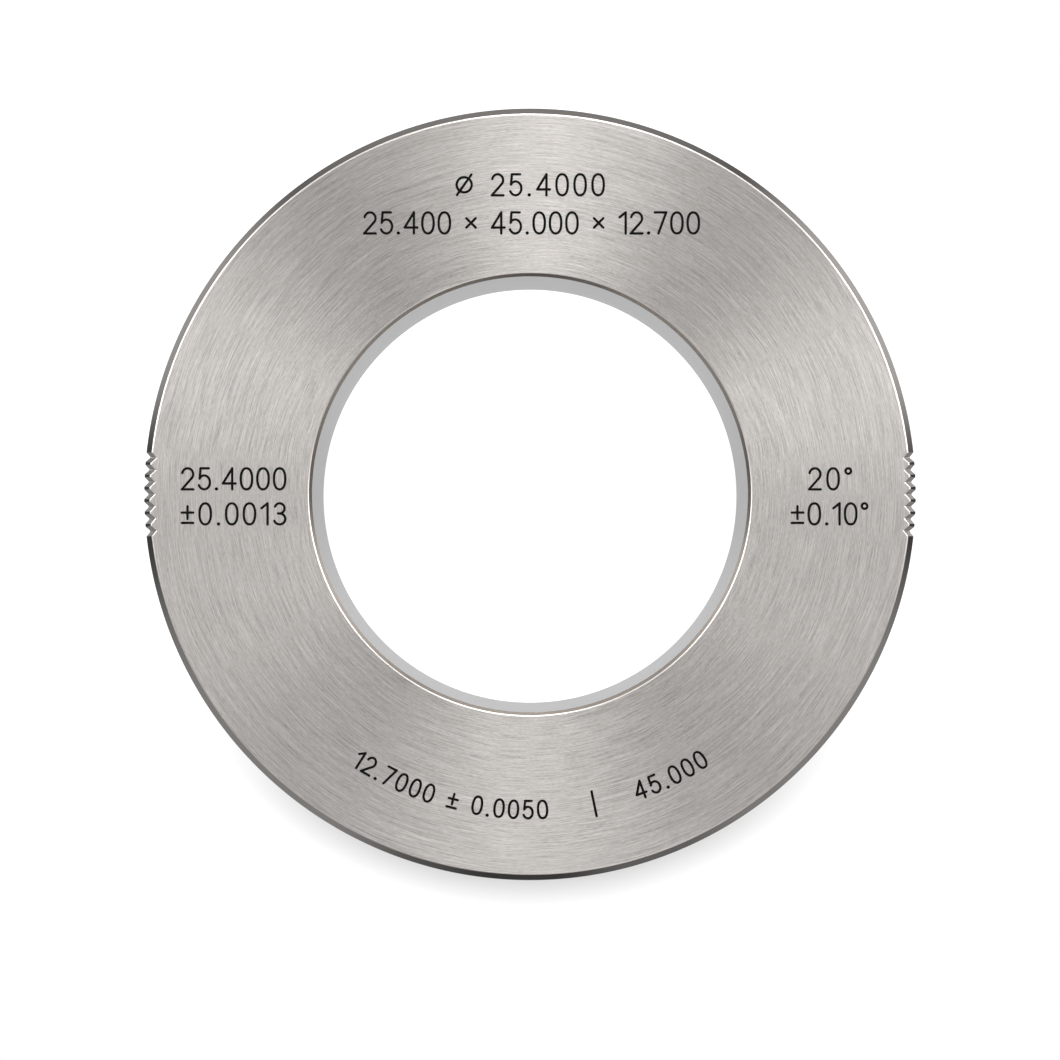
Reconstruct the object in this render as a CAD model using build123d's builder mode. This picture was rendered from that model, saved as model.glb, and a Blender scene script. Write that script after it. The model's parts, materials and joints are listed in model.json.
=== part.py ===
from build123d import *
import os
from math import cos, degrees, radians, sin, tan

# A setting ring gauge: one steel ring with a lapped cylindrical bore, all four
# corners chamfered and edge-broken, and a serrated finger grip on either side
# of the rim. Millimetres. The ring lies on its back face, z = 0, with the bore
# on the Z axis, the marked face up and the two grips on the X axis.

# Ring body
bore_diameter = 25.4
rim_diameter = 45.0
ring_width = 12.7

# Corners: a 45 degree chamfer, rounded where it meets the flat face
rim_chamfer = 0.37
rim_edge_round = 0.15
bore_chamfer = 0.21
bore_edge_round = 0.13

# Finger grips: rows of straight V grooves, cut across the rim along the bore's axis
grip_angles = (0, 180)
groove_count = 7
groove_pitch = 0.725
groove_depth = 0.24
groove_angle = 90
root_width = 0.08
root_width_at_face = 0.02

# A groove's root moves inwards this much for each millimetre that the chamfer does
root_follow = 1.12

# The groove cutter reaches this far past the rim and past both faces
cutter_margin = 0.3

bore_radius = bore_diameter / 2
rim_radius = rim_diameter / 2
half_groove_angle = radians(groove_angle / 2)
pitch_angle = degrees(groove_pitch / rim_radius)
grip_angle_range = pitch_angle * (groove_count - 1)

# The slopes of a rounded edge, from the flat face to the chamfer, that the cutter follows
edge_slopes = (0, 22.5, 45)


def rim_corner(slope_angle):
    """The drop below the face and the inset from the rim, where the rounded edge has this slope."""
    slope = radians(slope_angle)
    drop = rim_edge_round * (1 - cos(slope))
    inset = rim_chamfer + rim_edge_round * (tan(radians(edge_slopes[-1] / 2)) - sin(slope))
    return drop, inset


# One groove's cutter. Between the chamfers it is a straight V with a narrow
# flat root. Over a chamfer its root moves inwards with the chamfer and gets
# narrower, so that chamfer and rounded edge follow the teeth right round.
corner_levels = [rim_corner(slope_angle) for slope_angle in edge_slopes]
face_inset = corner_levels[0][1]
back_half = [(-cutter_margin, face_inset)] + corner_levels + [(rim_chamfer, 0)]
marked_half = [(ring_width - height, inset) for height, inset in reversed(back_half)]
cutter_radius = rim_radius + cutter_margin

with BuildPart() as groove:
    for height, inset in back_half + marked_half:
        root_radius = rim_radius - groove_depth - inset * root_follow
        half_root = (root_width + (root_width_at_face - root_width) * inset / face_inset) / 2
        half_mouth = half_root + (cutter_radius - root_radius) * tan(half_groove_angle)
        with BuildSketch(Plane.XY.offset(height)):
            with BuildLine():
                Polyline(
                    (root_radius, half_root),
                    (root_radius, -half_root),
                    (cutter_radius, -half_mouth),
                    (cutter_radius, half_mouth),
                    close=True,
                )
            make_face()
    loft(ruled=True)

# The ring. Its section is a rectangle between bore and rim: the corners are
# chamfered, and then each corner left on a flat face is rounded.
with BuildPart() as setting_ring:
    with BuildSketch(Plane.XZ) as section:
        with Locations(((bore_radius + rim_radius) / 2, ring_width / 2)):
            Rectangle(rim_radius - bore_radius, ring_width)
        chamfer(section.vertices().group_by(Axis.X)[-1], length=rim_chamfer)
        chamfer(section.vertices().group_by(Axis.X)[0], length=bore_chamfer)
        for face in (0, -1):
            for corner, edge_round in ((-1, rim_edge_round), (0, bore_edge_round)):
                face_corners = section.vertices().group_by(Axis.Y)[face].sort_by(Axis.X)
                fillet(face_corners[corner], radius=edge_round)
    revolve(axis=Axis.Z)
    for grip_angle in grip_angles:
        first_groove = grip_angle - grip_angle_range / 2
        with PolarLocations(0, groove_count, first_groove, grip_angle_range, endpoint=True):
            add(groove.part, mode=Mode.SUBTRACT)

setting_ring.part.label = "setting_ring"

os.makedirs("parts", exist_ok=True)
export_step(setting_ring.part, "parts/setting_ring.step")
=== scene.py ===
import json
from math import cos, pi, radians, sin, tan

import bmesh
import bpy
from mathutils import Matrix, Vector

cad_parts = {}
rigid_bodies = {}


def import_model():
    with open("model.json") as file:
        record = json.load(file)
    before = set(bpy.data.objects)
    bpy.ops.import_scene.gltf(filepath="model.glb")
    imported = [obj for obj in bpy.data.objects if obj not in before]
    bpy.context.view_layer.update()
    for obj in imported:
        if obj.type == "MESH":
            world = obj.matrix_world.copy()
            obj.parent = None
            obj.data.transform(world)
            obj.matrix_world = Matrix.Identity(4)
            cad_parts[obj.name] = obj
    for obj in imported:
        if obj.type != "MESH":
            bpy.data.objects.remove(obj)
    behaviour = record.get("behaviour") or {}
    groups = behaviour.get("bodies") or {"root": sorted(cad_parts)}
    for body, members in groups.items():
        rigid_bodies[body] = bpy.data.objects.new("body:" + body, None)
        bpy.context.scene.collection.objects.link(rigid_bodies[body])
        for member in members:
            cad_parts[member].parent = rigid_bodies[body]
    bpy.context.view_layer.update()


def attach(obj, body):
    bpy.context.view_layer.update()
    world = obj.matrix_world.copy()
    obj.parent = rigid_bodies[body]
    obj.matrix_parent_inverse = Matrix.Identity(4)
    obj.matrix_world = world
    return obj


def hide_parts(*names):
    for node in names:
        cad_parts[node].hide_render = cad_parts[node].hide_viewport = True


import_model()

# Sizes in millimetres and angles in degrees, as in the part. The ring is
# modelled in millimetres and brought to metres when it is finished.
MM = 0.001
BORE_RADIUS = 12.7
RIM_RADIUS = 22.5
MIDDLE_RADIUS = (BORE_RADIUS + RIM_RADIUS) / 2
RING_WIDTH = 12.7
RIM_CHAMFER = 0.37
RIM_EDGE_ROUND = 0.15
BORE_CHAMFER = 0.21
BORE_EDGE_ROUND = 0.13
CHAMFER_ANGLE = 45
ROUND_SEGMENTS = 6
ROUND_PROFILE = 0.5
SPIN_STEPS = 360

# Vertices that are nearer to each other than this are one vertex
SLIVER = 0.0005

# Finger grips
GRIP_ANGLES = (0, 180)
GROOVE_COUNT = 7
GROOVE_PITCH = 0.725
GROOVE_DEPTH = 0.24
GROOVE_ANGLE = 90
ROOT_WIDTH = 0.08
ROOT_WIDTH_AT_FACE = 0.02
ROOT_FOLLOW = 1.12
CUTTER_MARGIN = 0.3
EDGE_STEPS = 4

# Engraving: a ball-nosed cutter run along the strokes, its centre just above
# the face. The nose is drawn with a few sections, at these degrees round it.
STROKE_RADIUS = 0.078
DOT_RADIUS = 0.105
CUTTER_LIFT = 0.012
NOSE_ANGLES = (0, 25, 50, 72, 90)
TUBE_RESOLUTION = 2

# Slots of the ring's materials
FACE, ROUND, RIM_EDGE, BORE_EDGE, RIM, BORE, INK = range(7)

# How far up or down the normal of a flat, a rounded and a chamfered face points
FLAT_FROM = 0.995
ROUND_FROM = 0.73
CHAMFER_FROM = 0.05

# Edges that turn less than this are shaded smooth
SMOOTH_BELOW = 30


# Working with operators

def deselect_all():
    """Nothing stays selected, so an operator can't reach the CAD nodes."""
    if bpy.context.object and bpy.context.object.mode != "OBJECT":
        bpy.ops.object.mode_set(mode="OBJECT")
    for thing in bpy.context.view_layer.objects:
        thing.select_set(False)


def make_active(piece):
    """Only this piece is selected and active."""
    deselect_all()
    piece.select_set(True)
    bpy.context.view_layer.objects.active = piece


def edit(piece):
    make_active(piece)
    bpy.ops.object.mode_set(mode="EDIT")


def select_verts(piece, wanted):
    """In edit mode, select the vertices whose place is wanted, and what lies between them."""
    bpy.ops.mesh.select_mode(type="VERT")
    mesh = bmesh.from_edit_mesh(piece.data)
    for vert in mesh.verts:
        vert.select_set(False)
    mesh.select_flush(False)
    for vert in mesh.verts:
        if wanted(vert.co):
            vert.select_set(True)
    mesh.select_flush(True)
    bmesh.update_edit_mesh(piece.data)


def close_up(piece):
    """Merge doubled vertices and turn all faces outwards."""
    edit(piece)
    bpy.ops.mesh.select_all(action="SELECT")
    bpy.ops.mesh.remove_doubles(threshold=SLIVER)
    bpy.ops.mesh.normals_make_consistent(inside=False)
    bpy.ops.object.mode_set(mode="OBJECT")


def cut(piece, cutters):
    """Subtract closed cutters, which may overlap, from the piece in one go, and clear them away."""
    tray = bpy.data.collections.new("cutters")
    bpy.context.scene.collection.children.link(tray)
    for cutter in cutters:
        for holder in cutter.users_collection:
            holder.objects.unlink(cutter)
        tray.objects.link(cutter)
    make_active(piece)
    modifier = piece.modifiers.new("cut", "BOOLEAN")
    modifier.operation = "DIFFERENCE"
    modifier.solver = "MANIFOLD"
    modifier.operand_type = "COLLECTION"
    modifier.collection = tray
    bpy.ops.object.modifier_apply(modifier=modifier.name)
    for cutter in cutters:
        bpy.data.objects.remove(cutter)
    bpy.data.collections.remove(tray)


def mend_cuts(piece):
    """Split the many-sided faces that cuts leave, and take out edges too short to matter."""
    edit(piece)
    bpy.ops.mesh.select_mode(type="FACE")
    bpy.ops.mesh.select_all(action="DESELECT")
    bpy.ops.mesh.select_face_by_sides(number=4, type="GREATER")
    bpy.ops.mesh.quads_convert_to_tris(quad_method="BEAUTY", ngon_method="BEAUTY")
    bpy.ops.mesh.select_all(action="SELECT")
    bpy.ops.mesh.dissolve_degenerate(threshold=SLIVER)
    bpy.ops.object.mode_set(mode="OBJECT")


# The ring's body

def turn_ring():
    """The section, chamfered and rounded corner by corner, spun round the bore's axis."""
    deselect_all()
    bpy.ops.mesh.primitive_plane_add(
        size=1, location=(MIDDLE_RADIUS, 0, RING_WIDTH / 2), rotation=(pi / 2, 0, 0)
    )
    ring = bpy.context.object
    ring.name = ring.data.name = "ring"
    ring.scale = (RIM_RADIUS - BORE_RADIUS, RING_WIDTH, 1)
    bpy.ops.object.transform_apply(location=True, rotation=True, scale=True)
    edit(ring)
    for corner_radius, chamfer, edge_round, side in (
        (RIM_RADIUS, RIM_CHAMFER, RIM_EDGE_ROUND, -1),
        (BORE_RADIUS, BORE_CHAMFER, BORE_EDGE_ROUND, 1),
    ):
        select_verts(ring, lambda place: abs(place.x - corner_radius) < SLIVER)
        bpy.ops.mesh.bevel(offset=chamfer, segments=1, affect="VERTICES")
        chamfer_start = corner_radius + side * chamfer
        select_verts(ring, lambda place: abs(place.x - chamfer_start) < SLIVER)
        bpy.ops.mesh.bevel(
            offset=edge_round * tan(radians(CHAMFER_ANGLE / 2)),
            segments=ROUND_SEGMENTS,
            profile=ROUND_PROFILE,
            affect="VERTICES",
        )
    bpy.ops.mesh.select_all(action="SELECT")
    bpy.ops.mesh.delete(type="ONLY_FACE")
    bpy.ops.mesh.select_all(action="SELECT")
    bpy.ops.mesh.spin(steps=SPIN_STEPS, angle=2 * pi, center=(0, 0, 0), axis=(0, 0, 1))
    close_up(ring)
    return ring


# Finger grips

def rim_corner(slope_angle):
    """The drop below the face and the inset from the rim, where the rounded edge has this slope."""
    slope = radians(slope_angle)
    drop = RIM_EDGE_ROUND * (1 - cos(slope))
    inset = RIM_CHAMFER + RIM_EDGE_ROUND * (tan(radians(CHAMFER_ANGLE / 2)) - sin(slope))
    return drop, inset


def shape_pair(cutter, height, old, new):
    """Bring the two vertices at this height from an old place along X and width to new ones."""
    select_verts(
        cutter, lambda place: abs(place.z - height) < SLIVER and abs(place.x - old[0]) < SLIVER
    )
    bpy.ops.transform.resize(value=(1, new[1] / old[1], 1), center_override=(old[0], 0, height))
    bpy.ops.transform.translate(value=(new[0] - old[0], 0, 0))


def groove_cutter():
    """A V with a narrow flat root, drawn up through the ring's levels and deeper over each chamfer."""
    corner = [rim_corner(CHAMFER_ANGLE * step / EDGE_STEPS) for step in range(EDGE_STEPS + 1)]
    face_inset = corner[0][1]
    lower = [(-CUTTER_MARGIN, face_inset)] + corner + [(RIM_CHAMFER, 0)]
    upper = [(RING_WIDTH - height, inset) for height, inset in reversed(lower)]
    cutter_radius = RIM_RADIUS + CUTTER_MARGIN
    half_angle = radians(GROOVE_ANGLE / 2)
    blank = 1
    root, mouth = (cutter_radius - blank, blank), (cutter_radius, blank)
    height = lower[0][0]
    deselect_all()
    bpy.ops.mesh.primitive_plane_add(size=blank, location=(cutter_radius - blank / 2, 0, height))
    cutter = bpy.context.object
    bpy.ops.object.transform_apply(location=True)
    edit(cutter)
    for level, inset in lower + upper:
        if level > height:
            select_verts(cutter, lambda place: abs(place.z - height) < SLIVER)
            bpy.ops.mesh.extrude_region_move(
                TRANSFORM_OT_translate={"value": (0, 0, level - height)}
            )
            height = level
        root_radius = RIM_RADIUS - GROOVE_DEPTH - inset * ROOT_FOLLOW
        root_width = ROOT_WIDTH + (ROOT_WIDTH_AT_FACE - ROOT_WIDTH) * inset / face_inset
        mouth_width = root_width + 2 * (cutter_radius - root_radius) * tan(half_angle)
        shape_pair(cutter, height, mouth, (cutter_radius, mouth_width))
        shape_pair(cutter, height, root, (root_radius, root_width))
        root, mouth = (root_radius, root_width), (cutter_radius, mouth_width)
    close_up(cutter)
    return cutter


def cut_grips(ring):
    """Both rows of V grooves."""
    master = groove_cutter()
    step = GROOVE_PITCH / RIM_RADIUS
    grooves = []
    for grip_angle in GRIP_ANGLES:
        for number in range(GROOVE_COUNT):
            turn = radians(grip_angle) + (number - (GROOVE_COUNT - 1) / 2) * step
            groove = master.copy()
            groove.data = master.data.copy()
            groove.data.transform(Matrix.Rotation(turn, 4, "Z"))
            bpy.context.collection.objects.link(groove)
            grooves.append(groove)
    bpy.data.objects.remove(master)
    cut(ring, grooves)


# Engraved numbers. Each sign is drawn as single strokes in a cell whose stroke
# centres are one unit high, as an engraving machine follows them.

ARC_STEP = 12


def arc(x, y, across, up, start, end, fullness=1.0):
    """Points of an elliptical arc. A fullness below 1 fills its shoulders out."""
    count = max(3, round(abs(end - start) / ARC_STEP))
    points = []
    for number in range(count + 1):
        angle = radians(start + (end - start) * number / count)
        reach_x = abs(cos(angle)) ** fullness * (1 if cos(angle) >= 0 else -1)
        reach_y = abs(sin(angle)) ** fullness * (1 if sin(angle) >= 0 else -1)
        points.append((x + across * reach_x, y + up * reach_y))
    return points


# The width of each sign's cell, and its strokes
SIGNS = {
    "0": (0.54, [arc(0.27, 0.5, 0.27, 0.5, 90, 450, 0.88)]),
    "1": (0.29, [[(0, 0.77), (0.29, 1)], [(0.29, 1), (0.29, 0)]]),
    "2": (0.55, [arc(0.28, 0.72, 0.26, 0.28, 168, -36) + [(0, 0)], [(0, 0), (0.55, 0)]]),
    "3": (0.54, [
        arc(0.27, 0.76, 0.235, 0.24, 158, -90),
        [(0.2, 0.52), (0.27, 0.52)],
        arc(0.27, 0.26, 0.27, 0.26, 90, -158),
    ]),
    "4": (0.6, [[(0.44, 0), (0.44, 1)], [(0.44, 1), (0, 0.28)], [(0, 0.28), (0.6, 0.28)]]),
    "5": (0.54, [
        [(0.48, 1), (0.09, 1)],
        [(0.09, 1), (0.05, 0.51)],
        [(0.05, 0.51)] + arc(0.265, 0.33, 0.275, 0.33, 130, -155),
    ]),
    "7": (0.54, [[(0, 1), (0.54, 1)], [(0.54, 1), (0.17, 0)]]),
    ".": (0.12, [[(0.06, 0.02)]]),
    "±": (0.54, [[(0, 0.56), (0.54, 0.56)], [(0.27, 0.86), (0.27, 0.26)], [(0, 0.07), (0.54, 0.07)]]),
    "×": (0.44, [[(0, 0.28), (0.44, 0.72)], [(0, 0.72), (0.44, 0.28)]]),
    "°": (0.26, [arc(0.13, 0.87, 0.13, 0.13, 90, 450)]),
    "⌀": (0.76, [arc(0.38, 0.5, 0.36, 0.36, 90, 450), [(0.04, 0.02), (0.72, 0.98)]]),
    " ": (0.3, []),
}

# Straight lines of numbers: text, width over all, and the place of the middle
CAP = 1.38
STRAIGHT_LINES = (
    ("⌀ 25.4000", 8.75, 0, 17.98),
    ("25.400 × 45.000 × 12.700", 19.65, 0.09, 15.76),
    ("25.4000", 6.18, -17.26, 0.86),
    ("±0.0013", 6.18, -17.26, -1.18),
    ("20°", 2.6, 17.47, 0.86),
    ("±0.10°", 4.55, 17.44, -1.18),
)

# Numbers along the lower arc: text, width along its foot, and the angle of the middle
ARC_CAP = 1.17
ARC_RADIUS = 18.95
ARC_LINES = (
    ("12.7000 ± 0.0050", 12.2, 254.9),
    ("45.000", 4.76, 296.5),
)

# The bar between them: its angle, and its ends from the axis
BAR_ANGLE = 281.7
BAR_ENDS = (17.67, 19.13)


def set_line(text, width, cap):
    """Strokes of a line of signs, spaced to its width, centred on x = 0 and standing on y = 0."""
    unit = cap - 2 * STROKE_RADIUS
    widths = [SIGNS[sign][0] * unit for sign in text]
    gap = (width - 2 * STROKE_RADIUS - sum(widths)) / (len(text) - 1)
    x = STROKE_RADIUS - width / 2
    strokes = []
    for sign, sign_width in zip(text, widths):
        for stroke in SIGNS[sign][1]:
            strokes.append([(x + a * unit, STROKE_RADIUS + b * unit) for a, b in stroke])
        x += sign_width + gap
    return strokes


def straight(strokes, x, y):
    """Strokes of a straight line, its middle at x and the middle of its height at y."""
    middle = max(b for stroke in strokes for a, b in stroke) / 2
    return [[(a + x, b + y - middle) for a, b in stroke] for stroke in strokes]


def along_arc(strokes, radius, angle):
    """Strokes bent onto a circle, with their feet on it and their heads towards the bore."""
    bent = []
    for stroke in strokes:
        points = []
        for a, b in stroke:
            turn = radians(angle) + a / radius
            points.append(((radius - b) * cos(turn), (radius - b) * sin(turn)))
        bent.append(points)
    return bent


def all_strokes():
    strokes = []
    for text, width, x, y in STRAIGHT_LINES:
        strokes += straight(set_line(text, width, CAP), x, y)
    for text, width, angle in ARC_LINES:
        strokes += along_arc(set_line(text, width, ARC_CAP), ARC_RADIUS, angle)
    bar = radians(BAR_ANGLE)
    strokes.append([(reach * cos(bar), reach * sin(bar)) for reach in BAR_ENDS])
    return strokes


def sections(stroke):
    """Places and radii of the cutter's sections along a stroke, and whether it closes on itself."""
    nose = [(cos(radians(angle)), sin(radians(angle))) for angle in NOSE_ANGLES]
    points = [Vector(point) for point in stroke]
    if len(points) == 1:
        dot = [
            (points[0] + Vector((side * DOT_RADIUS * out, 0)), DOT_RADIUS * size)
            for side, half in ((-1, nose[:0:-1]), (1, nose))
            for size, out in half
        ]
        return dot, False
    if len(points) > 3 and (points[0] - points[-1]).length < SLIVER:
        return [(point, STROKE_RADIUS) for point in points[:-1]], True
    first = (points[0] - points[1]).normalized() * STROKE_RADIUS
    last = (points[-1] - points[-2]).normalized() * STROKE_RADIUS
    start = [(points[0] + first * out, STROKE_RADIUS * size) for size, out in reversed(nose)]
    middle = [(point, STROKE_RADIUS) for point in points[1:-1]]
    end = [(points[-1] + last * out, STROKE_RADIUS * size) for size, out in nose]
    return start + middle + end, False


def engravers(strokes):
    """A closed round-ended tube along each stroke."""
    curve = bpy.data.curves.new("engraver", "CURVE")
    curve.dimensions = "3D"
    curve.bevel_depth = 1
    curve.bevel_resolution = TUBE_RESOLUTION
    for stroke in strokes:
        places, closed = sections(stroke)
        spline = curve.splines.new("POLY")
        spline.points.add(len(places) - 1)
        spline.use_cyclic_u = closed
        for point, (place, radius) in zip(spline.points, places):
            point.co = (place.x, place.y, RING_WIDTH + CUTTER_LIFT, 1)
            point.radius = radius
    tubes = bpy.data.objects.new("engraver", curve)
    bpy.context.collection.objects.link(tubes)
    make_active(tubes)
    bpy.ops.object.convert(target="MESH")
    bpy.ops.object.mode_set(mode="EDIT")
    bpy.ops.mesh.select_all(action="SELECT")
    bpy.ops.mesh.separate(type="LOOSE")
    bpy.ops.object.mode_set(mode="OBJECT")
    cutters = list(bpy.context.selected_objects)
    for cutter in cutters:
        close_up(cutter)
    return cutters


def engrave(ring):
    """All numbers on the marked face, cut and filled with black."""
    cutters = engravers(all_strokes())
    for cutter in cutters:
        for material in ring.data.materials:
            cutter.data.materials.append(material)
        for face in cutter.data.polygons:
            face.material_index = INK
    cut(ring, cutters)


# Shader nodes

def node(tree, kind, links=None, **settings):
    """A node with its settings, its inputs linked to sockets or set to values."""
    made = tree.nodes.new(kind)
    for name, value in settings.items():
        setattr(made, name, value)
    for name, value in (links or {}).items():
        socket = made.inputs[name]
        if isinstance(value, bpy.types.NodeSocket):
            tree.links.new(value, socket)
        else:
            socket.default_value = value
    return made


def calc(tree, operation, a, b=0.0, c=0.0):
    """The outcome of one operation on sockets or numbers."""
    return node(tree, "ShaderNodeMath", {0: a, 1: b, 2: c}, operation=operation).outputs[0]


def remap(tree, value, low, high, to_low, to_high, smooth=False):
    """The value brought from one range to another, and held at its ends."""
    return node(
        tree,
        "ShaderNodeMapRange",
        {"Value": value, "From Min": low, "From Max": high, "To Min": to_low, "To Max": to_high},
        interpolation_type="SMOOTHSTEP" if smooth else "LINEAR",
    ).outputs["Result"]


def noise(tree, place, scale=1.0, detail=2.0, roughness=0.5):
    return node(
        tree,
        "ShaderNodeTexNoise",
        {"Vector": place, "Scale": scale, "Detail": detail, "Roughness": roughness},
    ).outputs[0]


def separate(tree, place):
    """X, Y and Z of a place or direction."""
    return node(tree, "ShaderNodeSeparateXYZ", {0: place}).outputs


def combine(tree, x, y, z):
    return node(tree, "ShaderNodeCombineXYZ", {0: x, 1: y, 2: z}).outputs[0]


def bare_tree(owner):
    """The node tree of a new material or world, emptied."""
    owner.use_nodes = True
    owner.node_tree.nodes.clear()
    return owner.node_tree


def new_group(name, inputs, outputs):
    """A node group with its input and output nodes."""
    group = bpy.data.node_groups.new(name, "ShaderNodeTree")
    for label, value in inputs.items():
        socket = group.interface.new_socket(label, in_out="INPUT", socket_type="NodeSocketFloat")
        socket.default_value = value
    for label in outputs:
        group.interface.new_socket(label, in_out="OUTPUT", socket_type="NodeSocketFloat")
    return group, group.nodes.new("NodeGroupInput"), group.nodes.new("NodeGroupOutput")


# The scratches that grinding and brushing leave

# How fast the lines' wandering changes round the axis, and across the lines
SWAY_ROUND = 3.1
SWAY_ACROSS = 0.22
SWAY_DETAIL = 1.5
LINE_DETAIL = 2.0
LINE_ROUGHNESS = 0.55


def scratches(along_radius, along_height, breaks, fineness, wander, shift):
    """Settings of one set of scratches."""
    return {
        "Along Radius": along_radius,
        "Along Height": along_height,
        "Breaks": breaks,
        "Fineness": fineness,
        "Wander": wander,
        "Shift": shift,
    }


def cutting_lines_group():
    """Fine scratches round the bore's axis. Along Radius and Along Height say which way they
    follow one another, Fineness how closely, and Breaks how often each one breaks off. They
    wander to and fro as they go round, and Shift picks another set."""
    group, given, result = new_group(
        "CuttingLines",
        scratches(1.0, 0.0, breaks=3.0, fineness=10.0, wander=0.3, shift=0.0),
        ("Lines",),
    )
    place = node(group, "ShaderNodeTexCoord").outputs["Object"]
    in_mm = node(group, "ShaderNodeVectorMath", {0: place, "Scale": 1 / MM}, operation="SCALE").outputs[0]
    x, y, z = separate(group, in_mm)
    square = calc(group, "MULTIPLY_ADD", x, x, calc(group, "MULTIPLY", y, y))
    radius = calc(group, "SQRT", square)
    round_x = calc(group, "DIVIDE", x, radius)
    round_y = calc(group, "DIVIDE", y, radius)
    rise = calc(group, "MULTIPLY", z, given.outputs["Along Height"])
    across = calc(group, "MULTIPLY_ADD", radius, given.outputs["Along Radius"], rise)
    slow = combine(
        group,
        calc(group, "MULTIPLY", round_x, SWAY_ROUND),
        calc(group, "MULTIPLY", round_y, SWAY_ROUND),
        calc(group, "MULTIPLY_ADD", across, SWAY_ACROSS, given.outputs["Shift"]),
    )
    sway = calc(group, "SUBTRACT", noise(group, slow, detail=SWAY_DETAIL), 0.5)
    wandered = calc(group, "MULTIPLY_ADD", sway, given.outputs["Wander"], across)
    lines = combine(
        group,
        calc(group, "MULTIPLY", round_x, given.outputs["Breaks"]),
        calc(group, "MULTIPLY", round_y, given.outputs["Breaks"]),
        calc(group, "MULTIPLY_ADD", wandered, given.outputs["Fineness"], given.outputs["Shift"]),
    )
    broken = noise(group, lines, detail=LINE_DETAIL, roughness=LINE_ROUGHNESS)
    group.links.new(broken, result.inputs["Lines"])
    return group


CUTTING_LINES = cutting_lines_group()

FACE_LINES = (
    scratches(1.0, 0.0, breaks=8.0, fineness=24.0, wander=0.5, shift=3.0),
    scratches(1.0, 0.0, breaks=60.0, fineness=34.0, wander=-0.4, shift=31.0),
)
WALL_LINES = (
    scratches(0.0, 1.0, breaks=5.0, fineness=12.0, wander=0.2, shift=7.0),
    scratches(0.0, 1.0, breaks=9.0, fineness=19.0, wander=0.2, shift=17.0),
)
CORNER_LINES = (
    scratches(1.0, 1.0, breaks=6.0, fineness=12.0, wander=0.1, shift=2.0),
    scratches(1.0, 1.0, breaks=9.0, fineness=19.0, wander=0.1, shift=11.0),
)


# Finishes

# Tints of bare steel
WARM = (1.05, 1.0, 0.96)
NEUTRAL = (1.0, 0.995, 1.01)
STRAW = (1.12, 1.0, 0.89)

# Nearly all of a noise lies between these values
NOISE_RANGE = (0.3, 0.7)

# The first set of scratches counts for this much of both. They change the
# roughness by its spread, and highlights are drawn out across them.
FIRST_SHARE = 0.6
ROUGHNESS_SPREAD = 0.08
QUARTER_TURN = 0.25

# The filler's shade, roughness and relief, and its grain for each metre
FILL_SHADES = (0.002, 0.006)
FILL_ROUGHNESS = (0.55, 0.75)
FILL_SHEEN = 0.05
FILL_RELIEF = 0.004 * MM
FILL_RELIEF_STRENGTH = 0.6
FILL_GRAIN = 9000.0


def steel(name, lines, tint, shade, roughness, grain, relief, anisotropy, grazing=1.0):
    """Bare ground steel with two crossing sets of scratches. grain is how much they change its
    colour, relief their depth in millimetres, and grazing its shade when seen along the surface."""
    material = bpy.data.materials.new(name)
    tree = bare_tree(material)
    layers = []
    for settings in lines:
        layer = node(tree, "ShaderNodeGroup", settings, node_tree=CUTTING_LINES)
        layers.append(layer.outputs["Lines"])
    first = calc(tree, "MULTIPLY", layers[0], FIRST_SHARE)
    second = calc(tree, "MULTIPLY", layers[1], 1 - FIRST_SHARE)
    both = calc(tree, "ADD", first, second)
    colour = node(
        tree,
        "ShaderNodeVectorMath",
        {
            0: tuple(part * shade for part in tint),
            "Scale": remap(tree, both, *NOISE_RANGE, 1 - grain, 1 + grain),
        },
        operation="SCALE",
    )
    dull, bright = roughness * (1 + ROUGHNESS_SPREAD), roughness * (1 - ROUGHNESS_SPREAD)
    bump = node(tree, "ShaderNodeBump", {"Height": both, "Strength": 1.0, "Distance": relief * MM})
    around = node(tree, "ShaderNodeTangent", direction_type="RADIAL", axis="Z")
    surface = node(tree, "ShaderNodeBsdfPrincipled", {
        "Base Color": colour.outputs[0],
        "Metallic": 1.0,
        "Roughness": remap(tree, both, *NOISE_RANGE, dull, bright),
        "Anisotropic": anisotropy,
        "Anisotropic Rotation": QUARTER_TURN,
        "Specular Tint": (grazing, grazing, grazing, 1),
        "Normal": bump.outputs[0],
        "Tangent": around.outputs[0],
    })
    node(tree, "ShaderNodeOutputMaterial", {"Surface": surface.outputs[0]})
    return material


def black_fill():
    """Dull black engraver's filler, slightly uneven."""
    material = bpy.data.materials.new("black_fill")
    tree = bare_tree(material)
    place = node(tree, "ShaderNodeTexCoord").outputs["Object"]
    grain = noise(tree, place, scale=FILL_GRAIN)
    shade = remap(tree, grain, *NOISE_RANGE, *FILL_SHADES)
    colour = node(tree, "ShaderNodeCombineColor", {0: shade, 1: shade, 2: shade})
    bump = node(
        tree,
        "ShaderNodeBump",
        {"Height": grain, "Strength": FILL_RELIEF_STRENGTH, "Distance": FILL_RELIEF},
    )
    surface = node(tree, "ShaderNodeBsdfPrincipled", {
        "Base Color": colour.outputs[0],
        "Roughness": remap(tree, grain, *NOISE_RANGE, *FILL_ROUGHNESS),
        "Specular IOR Level": FILL_SHEEN,
        "Normal": bump.outputs[0],
    })
    node(tree, "ShaderNodeOutputMaterial", {"Surface": surface.outputs[0]})
    return material


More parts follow.
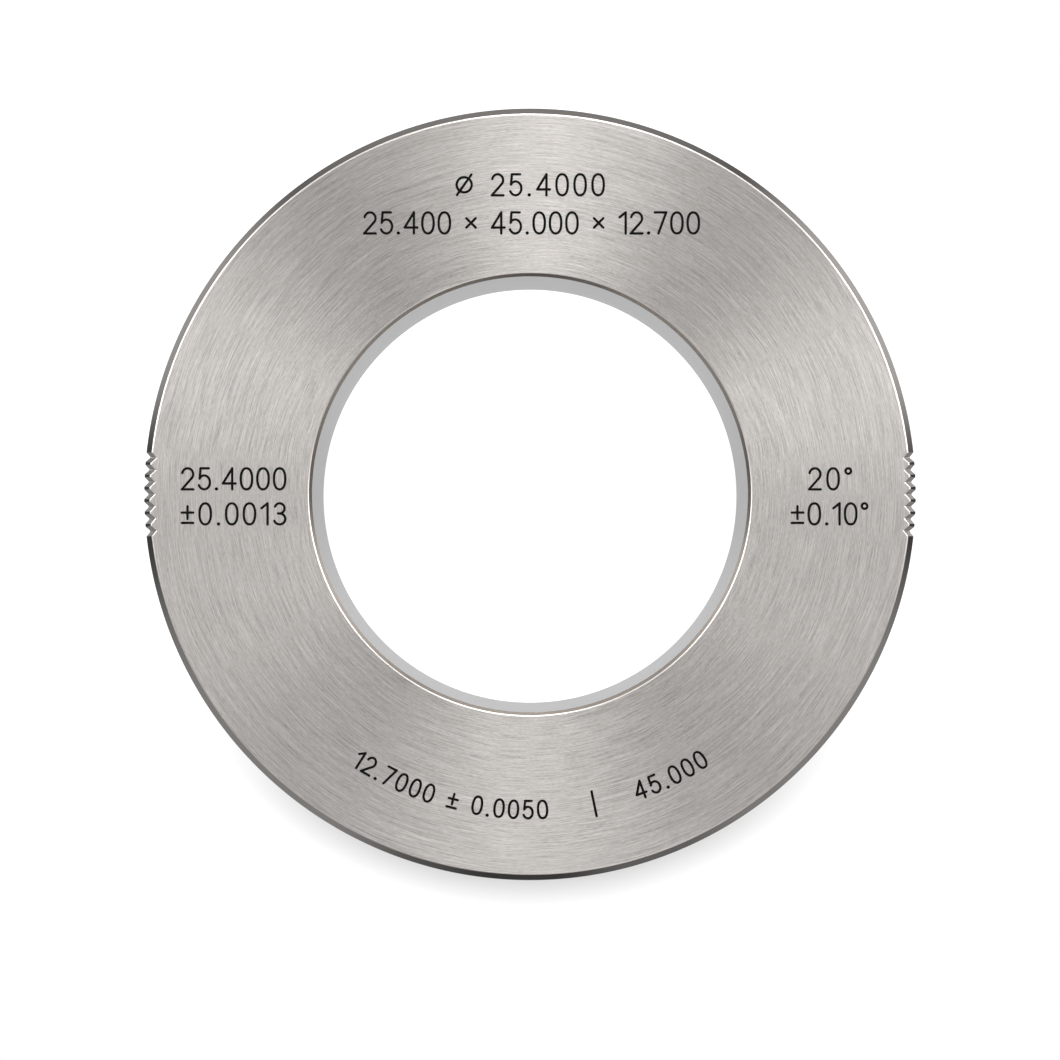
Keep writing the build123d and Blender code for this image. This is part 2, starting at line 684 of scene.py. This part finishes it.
def finishes():
    """The ring's materials, in the order of their slots."""
    return (
        steel(
            "brushed_face", FACE_LINES, WARM, shade=0.45,
            roughness=0.45, grain=0.42, relief=0.0015, anisotropy=0.8,
        ),
        steel(
            "broken_edge", CORNER_LINES, WARM, shade=0.58,
            roughness=0.38, grain=0.05, relief=0.0006, anisotropy=0.3,
        ),
        steel(
            "ground_chamfer", CORNER_LINES, WARM, shade=0.58,
            roughness=0.14, grain=0.05, relief=0.0006, anisotropy=0.3,
        ),
        steel(
            "bore_chamfer", CORNER_LINES, STRAW, shade=0.43,
            roughness=0.24, grain=0.05, relief=0.0006, anisotropy=0.3,
        ),
        steel(
            "ground_rim", WALL_LINES, WARM, shade=0.58,
            roughness=0.32, grain=0.06, relief=0.0008, anisotropy=0.6,
        ),
        steel(
            "lapped_bore", WALL_LINES, NEUTRAL, shade=0.71,
            roughness=0.2, grain=0.03, relief=0.0003, anisotropy=0.4, grazing=0.37,
        ),
        black_fill(),
    )


# The finished ring

def sort_finishes(ring):
    """Give each face its finish by the way it points and how far it is from the axis."""
    for face in ring.data.polygons:
        if face.material_index == INK:
            continue
        steepness = abs(face.normal.z)
        near_bore = face.center.xy.length < MIDDLE_RADIUS
        if steepness > FLAT_FROM:
            face.material_index = FACE
        elif steepness > ROUND_FROM:
            face.material_index = ROUND
        elif steepness > CHAMFER_FROM:
            face.material_index = BORE_EDGE if near_bore else RIM_EDGE
        else:
            face.material_index = BORE if near_bore else RIM


def make_ring():
    ring = turn_ring()
    cut_grips(ring)
    ring.data.materials.clear()
    for finish in finishes():
        ring.data.materials.append(finish)
    engrave(ring)
    mend_cuts(ring)
    sort_finishes(ring)
    make_active(ring)
    bpy.ops.object.shade_smooth_by_angle(angle=radians(SMOOTH_BELOW))
    weighting = ring.modifiers.new("weighting", "WEIGHTED_NORMAL")
    weighting.keep_sharp = True
    bpy.ops.object.modifier_apply(modifier=weighting.name)
    ring.data.transform(Matrix.Scale(MM, 4))
    ring.data.update()
    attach(ring, "root")
    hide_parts("setting_ring")


# The floor. It glows white to the camera and in reflections. The glow is dimmed
# in a painted shadow in front of the ring, where its real shadow falls too, and is
# shaped a little inside the bore as painted light for the reflection in its wall.

WHITE = (1, 1, 1, 1)
FLOOR_RADIUS = 40 * MM
FLOOR_CORNERS = 96
FLOOR_DROP = 0.02 * MM
FLOOR_TONE = 0.15
# The painted shadow: the glow left where it is deepest, how far from the axis it reaches, and where along
# Y it begins and is full
SHADOW_GLOW = 0.5
SHADOW_REACH = 26.5 * MM
SHADOW_START = -10 * MM
SHADOW_FULL = -22 * MM
# Painted light inside the bore, for its wall's reflection: the change of glow beside the axis and above
# and below it, and the distance along Y over which it changes
BORE_GLOW_BESIDE = -0.07
BORE_GLOW_ENDS = 0.09
BORE_GLOW_REACH = 8 * MM


def floor_glow(tree):
    """How brightly each place on the floor glows, with the painted shadow in front of the ring and the
    painted light inside the bore.
    """
    x, y, _ = separate(tree, node(tree, "ShaderNodeTexCoord").outputs["Object"])
    flat = combine(tree, x, y, 0.0)
    reach = node(tree, "ShaderNodeVectorMath", {0: flat}, operation="LENGTH").outputs["Value"]
    outside = remap(tree, reach, BORE_RADIUS * MM, RIM_RADIUS * MM, 0, 1)
    # Painted shadow: a crescent just outside the rim towards -Y, where the glow is dimmed on top of the
    # ring's real cast shadow
    close = remap(tree, reach, SHADOW_REACH, RIM_RADIUS * MM, 0, 1, smooth=True)
    below = remap(tree, y, SHADOW_START, SHADOW_FULL, 0, 1, smooth=True)
    shadow = calc(tree, "MULTIPLY", calc(tree, "MULTIPLY", outside, close), below)
    dimmed = remap(tree, shadow, 0, 1, 1.0, SHADOW_GLOW)
    # Painted light: inside the bore the glow is a little dimmer beside the axis and brighter above and
    # below it, for the reflection in the bore's wall
    away = calc(tree, "ABSOLUTE", y)
    change = remap(tree, away, 0, BORE_GLOW_REACH, BORE_GLOW_BESIDE, BORE_GLOW_ENDS, smooth=True)
    inside = calc(tree, "SUBTRACT", 1.0, outside)
    return calc(tree, "MULTIPLY", dimmed, calc(tree, "MULTIPLY_ADD", change, inside, 1.0))


def make_floor():
    """A small pale table top that reads white where nothing shades it."""
    deselect_all()
    bpy.ops.mesh.primitive_circle_add(
        vertices=FLOOR_CORNERS, radius=FLOOR_RADIUS, fill_type="NGON", location=(0, 0, -FLOOR_DROP)
    )
    floor = bpy.context.object
    floor.name = "floor"
    bpy.ops.object.transform_apply(location=True)
    material = bpy.data.materials.new("pale_floor")
    tree = bare_tree(material)
    path = node(tree, "ShaderNodeLightPath").outputs
    mirrored = calc(tree, "MAXIMUM", path["Is Glossy Ray"], path["Is Transmission Ray"])
    seen = calc(tree, "MAXIMUM", path["Is Camera Ray"], mirrored)
    strength = calc(tree, "MULTIPLY", seen, floor_glow(tree))
    paint = node(tree, "ShaderNodeBsdfDiffuse", {"Color": (FLOOR_TONE, FLOOR_TONE, FLOOR_TONE, 1)})
    glow = node(tree, "ShaderNodeEmission", {"Color": WHITE, "Strength": strength})
    both = node(tree, "ShaderNodeAddShader", {0: paint.outputs[0], 1: glow.outputs[0]})
    node(tree, "ShaderNodeOutputMaterial", {"Surface": both.outputs[0]})
    floor.data.materials.append(material)


# Strip lights: azimuth and watts. Those behind and beside the ring stand lower
# and give its outer edge a bright line; those in front reach higher and are dim.
# Sizes and distance are in metres.

LAMP_DISTANCE = 0.6
BACK_ELEVATION = 38
BACK_SIZE = (0.14, 0.36)
BACK_STRIPS = (
    (0, 0.26), (15, 1.18), (30, 1.08), (45, 0.13), (60, 0.11), (75, 0.84), (90, 1.52),
    (105, 0.12), (120, 0.1), (135, 0.16), (150, 1.16), (165, 0.97), (180, 0.24),
)
FRONT_ELEVATION = 54
FRONT_SIZE = (0.16, 0.6)
FRONT_STRIPS = (
    (195, 0.06), (210, 0.08), (225, 0.1), (240, 0.13), (255, 0.08), (270, 0.2),
    (285, 0.34), (300, 0.11), (315, 0.1), (330, 0.07), (345, 0.06),
)


def strip_light(name, azimuth, elevation, size, watts):
    """An area lamp that faces the ring, hidden from the camera."""
    deselect_all()
    flat, up = radians(azimuth), radians(elevation)
    toward = Vector((cos(flat) * cos(up), sin(flat) * cos(up), sin(up)))
    centre = Vector((0, 0, RING_WIDTH * MM / 2))
    bpy.ops.object.light_add(type="AREA", location=centre + toward * LAMP_DISTANCE)
    lamp = bpy.context.object
    lamp.name = lamp.data.name = name
    lamp.rotation_euler = toward.to_track_quat("Z", "Y").to_euler()
    lamp.data.shape = "RECTANGLE"
    lamp.data.size, lamp.data.size_y = size
    lamp.data.energy = watts
    lamp.visible_camera = False


# Soft patches low round the studio: azimuth, half width in degrees, brightness.
# They fade out upwards between two elevations and grow brighter over the horizon.
# Elevations here and below are given as sines.

LOW_PATCHES = (
    (31, 27, 0.63),
    (93, 46, 0.26),
    (150, 24, 0.45),
    (220, 34, 0.28),
    (247, 16, 0.07),
    (292, 18, 0.13),
    (324, 31, 0.3),
)
PATCH_TOP = 0.65
PATCH_FADE_START = 0.1
HORIZON_BELOW = -0.08
HORIZON_ABOVE = 0.05
SHARE_BELOW = 0.9
SHARE_ABOVE = 1.4
DIM_LIGHT = 0.06

# The white backdrop: its elevations, the softness of its edges, and how far
# back a direction has to point before it shows
BACKDROP_BOTTOM = 0.1
BACKDROP_TOP = 0.45
BACKDROP_EDGE = 0.04
BACKDROP_FROM = 0.1
BACKDROP_FULL = 0.35


def low_light(tree, direction):
    """The soft patches' brightness in a direction."""
    x, y, z = separate(tree, direction)
    level = combine(tree, x, y, 0.0)
    heading = node(tree, "ShaderNodeVectorMath", {0: level}, operation="NORMALIZE").outputs[0]
    patches = 0.0
    for azimuth, half_width, brightness in LOW_PATCHES:
        centre = (cos(radians(azimuth)), sin(radians(azimuth)), 0)
        near = node(
            tree, "ShaderNodeVectorMath", {0: heading, 1: centre}, operation="DOT_PRODUCT"
        ).outputs["Value"]
        patch = remap(tree, near, cos(radians(half_width)), 1, 0, brightness, smooth=True)
        patches = calc(tree, "ADD", patches, patch)
    fading = remap(tree, z, PATCH_TOP, PATCH_FADE_START, 0, 1, smooth=True)
    rising = remap(tree, z, HORIZON_BELOW, HORIZON_ABOVE, SHARE_BELOW, SHARE_ABOVE, smooth=True)
    return calc(tree, "MULTIPLY", patches, calc(tree, "MULTIPLY", fading, rising))


def backdrop_share(tree, direction):
    """How much of the white backdrop shows in a direction."""
    _, y, z = separate(tree, direction)
    behind = remap(tree, y, BACKDROP_FROM, BACKDROP_FULL, 0, 1, smooth=True)
    bottom = (BACKDROP_BOTTOM - BACKDROP_EDGE, BACKDROP_BOTTOM + BACKDROP_EDGE)
    top = (BACKDROP_TOP + BACKDROP_EDGE, BACKDROP_TOP - BACKDROP_EDGE)
    above = remap(tree, z, *bottom, 0, 1, smooth=True)
    under = remap(tree, z, *top, 0, 1, smooth=True)
    return calc(tree, "MULTIPLY", behind, calc(tree, "MULTIPLY", above, under))


def make_world():
    """White for the camera, with a white backdrop that the steel shows too. The rest of the
    studio is dim, with soft patches of light."""
    world = bpy.data.worlds.new("studio")
    bpy.context.scene.world = world
    tree = bare_tree(world)
    direction = node(tree, "ShaderNodeTexCoord").outputs["Generated"]
    strength = calc(tree, "ADD", low_light(tree, direction), DIM_LIGHT)
    studio = node(tree, "ShaderNodeBackground", {"Color": WHITE, "Strength": strength})
    white = node(tree, "ShaderNodeBackground", {"Color": WHITE, "Strength": 1.0})
    path = node(tree, "ShaderNodeLightPath").outputs
    mirrored = calc(tree, "MAXIMUM", path["Is Glossy Ray"], path["Is Transmission Ray"])
    backdrop = calc(tree, "MULTIPLY", mirrored, backdrop_share(tree, direction))
    shown = calc(tree, "MAXIMUM", path["Is Camera Ray"], backdrop)
    mixed = node(
        tree, "ShaderNodeMixShader", {0: shown, 1: studio.outputs[0], 2: white.outputs[0]}
    )
    node(tree, "ShaderNodeOutputWorld", {"Surface": mixed.outputs[0]})


# The camera's height above the marked face and its distance from the axis, the
# lens and sensor in millimetres, and how near and far it sees in metres

CAMERA_HEIGHT = 220
CAMERA_OFFSET = -2.08
LENS = 128.33
SENSOR_WIDTH = 36
NEAREST = 0.01
FARTHEST = 10


def make_camera():
    """Straight above the marked face, a little off the axis as the photo is."""
    deselect_all()
    bpy.ops.object.camera_add(
        location=(0, CAMERA_OFFSET * MM, (RING_WIDTH + CAMERA_HEIGHT) * MM), rotation=(0, 0, 0)
    )
    camera = bpy.context.object
    camera.name = "camera"
    camera.data.lens = LENS
    camera.data.sensor_width = SENSOR_WIDTH
    camera.data.clip_start = NEAREST
    camera.data.clip_end = FARTHEST
    bpy.context.scene.camera = camera


make_ring()
make_floor()
for azimuth, watts in BACK_STRIPS:
    strip_light(f"back_strip_{azimuth}", azimuth, BACK_ELEVATION, BACK_SIZE, watts)
for azimuth, watts in FRONT_STRIPS:
    strip_light(f"front_strip_{azimuth}", azimuth, FRONT_ELEVATION, FRONT_SIZE, watts)
make_world()
make_camera()
bpy.context.scene.view_settings.view_transform = "Standard"
